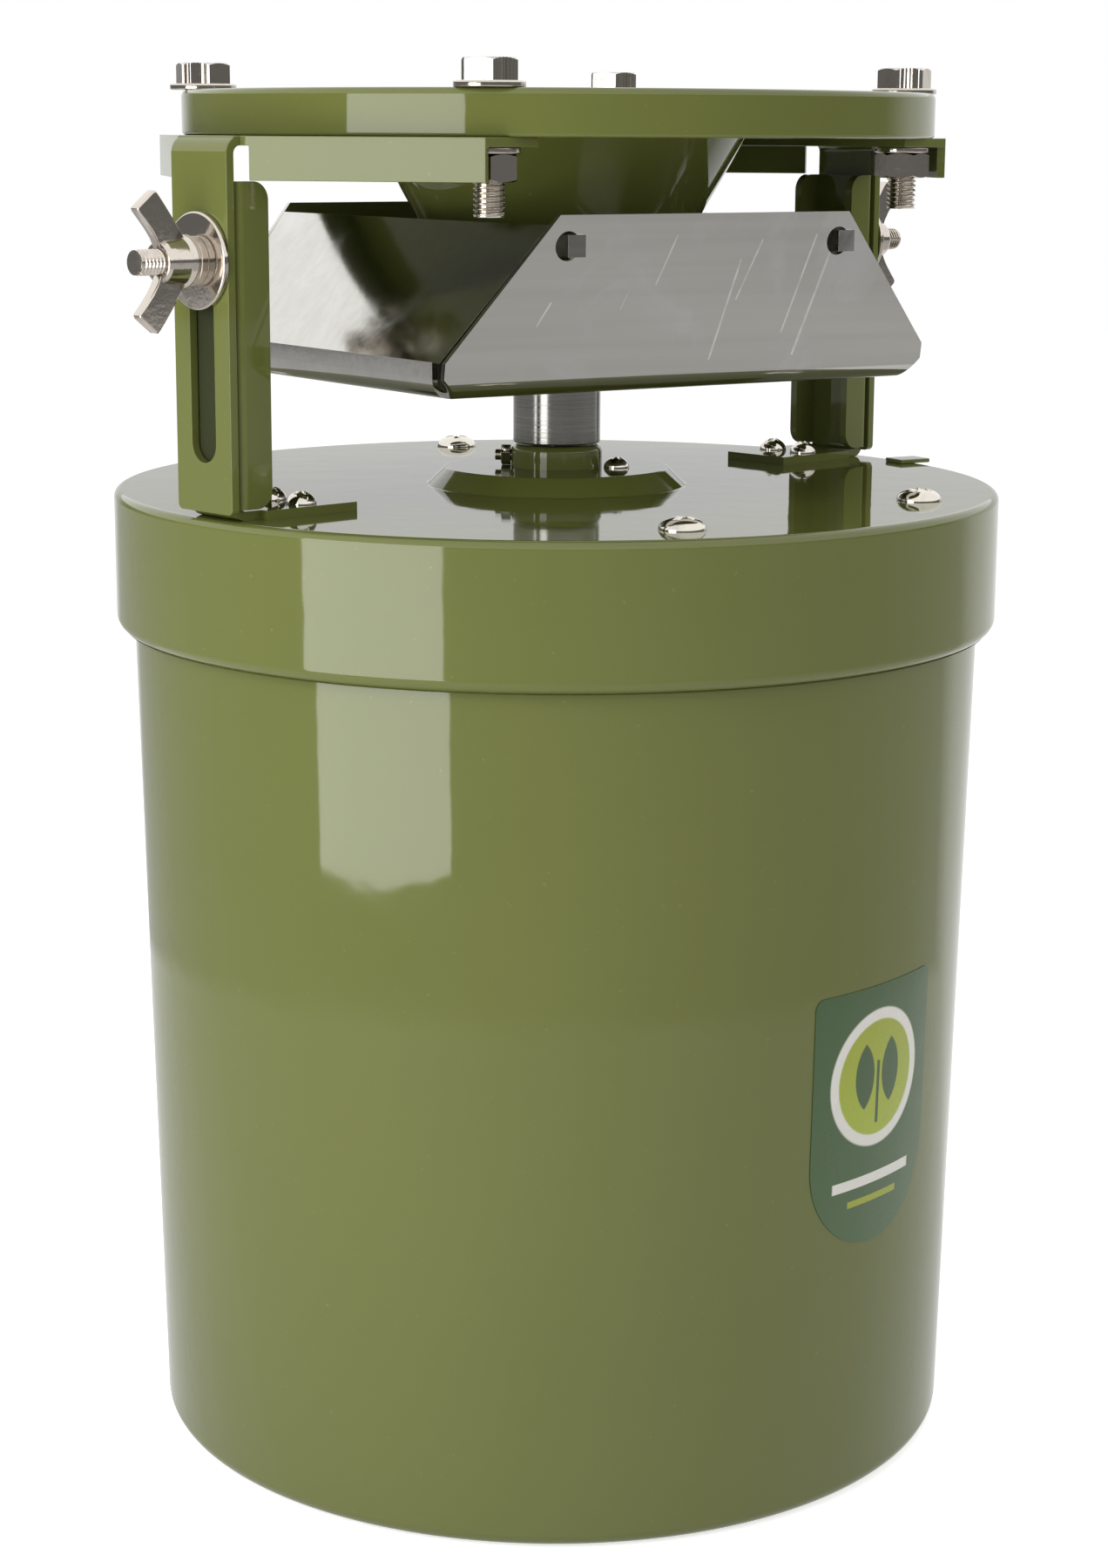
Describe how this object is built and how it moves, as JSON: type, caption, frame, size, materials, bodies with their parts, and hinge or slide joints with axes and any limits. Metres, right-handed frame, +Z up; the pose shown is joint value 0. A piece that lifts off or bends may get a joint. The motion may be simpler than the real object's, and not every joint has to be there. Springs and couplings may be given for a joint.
{
  "type": "hanging feed spreader",
  "caption": "Hanging feed spreader: lidded steel bucket, motor-driven folded spinner pan above the lid, and a height-adjustable funnel plate on two slotted brackets.",
  "frame": {"origin": "middle of the bucket's underside, on the spinner's axis", "axes": "+Z up along the spinner's axis, +X through the two brackets, label on the -Y side"},
  "size_m": [0.278, 0.24, 0.3721],
  "materials": {
    "olive_paint": "glossy olive green enamel",
    "stainless": "fine brushed stainless sheet with handling scratches",
    "zinc": "bright zinc plate",
    "rubber": "black rubber",
    "label_film": null,
    "galvanised": "galvanised sheet",
    "gearbox_alloy": "die cast",
    "motor_can": "plated steel can",
    "black_plastic": "moulded black plastic",
    "button_plastic": "moulded grey plastic",
    "display": "liquid crystal window",
    "board": "circuit board",
    "terminal": "tinned brass"
  },
  "bodies": {
    "bucket": {"bucket_shell": "olive_paint", "front_label": "label_film", "battery": "black_plastic", "battery_terminals": "terminal", "battery_tray": "galvanised", "battery_strap": "galvanised"},
    "lid": {"lid_shell": "olive_paint", "lid_gasket": "rubber", "shaft_collar": "olive_paint", "collar_screw": "zinc", "shaft_seal": "rubber", "lid_screws": "zinc", "mound_screws": "zinc", "foot_screws_right": "zinc", "foot_screws_left": "zinc", "lower_bracket_right": "olive_paint", "lower_bracket_left": "olive_paint", "wing_bolt_right": "zinc", "wing_bolt_left": "zinc", "wing_washer_right": "zinc", "wing_washer_left": "zinc", "spring_washer_right": "zinc", "spring_washer_left": "zinc", "drive_deck": "galvanised", "deck_spacers": "zinc", "lid_screw_nuts": "zinc", "gearbox": "gearbox_alloy", "motor_can": "motor_can", "motor_screws": "zinc", "timer_case": "black_plastic", "timer_face": "black_plastic", "timer_display": "display", "timer_board": "board", "board_pillars": "black_plastic", "lid_lug": "olive_paint"},
    "top": {"top_plate": "olive_paint", "funnel": "olive_paint", "upper_arm_right": "olive_paint", "upper_arm_left": "olive_paint", "plate_bolts": "zinc", "plate_washers_upper": "zinc", "plate_washers_lower": "zinc", "plate_nuts": "zinc"},
    "spinner": {"spinner_pan": "stainless", "spinner_hub": "stainless", "pan_flange": "stainless", "drive_screw": "zinc", "motor_shaft": "stainless"},
    "wing_nut_right": {"wing_nut_right": "zinc"},
    "wing_nut_left": {"wing_nut_left": "zinc"},
    "button_1": {"timer_button_1": "button_plastic"},
    "button_2": {"timer_button_2": "button_plastic"},
    "button_3": {"timer_button_3": "button_plastic"},
    "button_4": {"timer_button_4": "button_plastic"},
    "switch": {"power_switch": "button_plastic"}
  },
  "joints": [
    {"name": "lid_lift", "type": "slide", "parent": "bucket", "child": "lid", "axis": [0, 0, 1], "range_m": [0, 0.07]},
    {"name": "top_height", "type": "slide", "parent": "lid", "child": "top", "axis": [0, 0, 1], "range_m": [0, 0.044]},
    {"name": "spinner_turn", "type": "hinge", "parent": "lid", "child": "spinner", "pos_m": [0, 0, 0.2913], "axis": [0, 0, 1], "continuous": true},
    {"name": "wing_nut_right_turn", "type": "hinge", "parent": "lid", "child": "wing_nut_right", "pos_m": [0.1235, 0, 0.324], "axis": [1, 0, 0], "continuous": true},
    {"name": "wing_nut_left_turn", "type": "hinge", "parent": "lid", "child": "wing_nut_left", "pos_m": [-0.1235, 0, 0.324], "axis": [1, 0, 0], "continuous": true},
    {"name": "power_switch_rock", "type": "hinge", "parent": "lid", "child": "switch", "pos_m": [0.024, 0.072, 0.2152], "axis": [1, 0, 0], "range_deg": [-15, 15]},
    {"name": "button_1_press", "type": "slide", "parent": "lid", "child": "button_1", "axis": [0, 0, 1], "range_m": [0, 0.0012], "stiffness_N_per_m": 250, "springref_m": -0.0004},
    {"name": "button_2_press", "type": "slide", "parent": "lid", "child": "button_2", "axis": [0, 0, 1], "range_m": [0, 0.0012], "stiffness_N_per_m": 250, "springref_m": -0.0004},
    {"name": "button_3_press", "type": "slide", "parent": "lid", "child": "button_3", "axis": [0, 0, 1], "range_m": [0, 0.0012], "stiffness_N_per_m": 250, "springref_m": -0.0004},
    {"name": "button_4_press", "type": "slide", "parent": "lid", "child": "button_4", "axis": [0, 0, 1], "range_m": [0, 0.0012], "stiffness_N_per_m": 250, "springref_m": -0.0004}
  ]
}
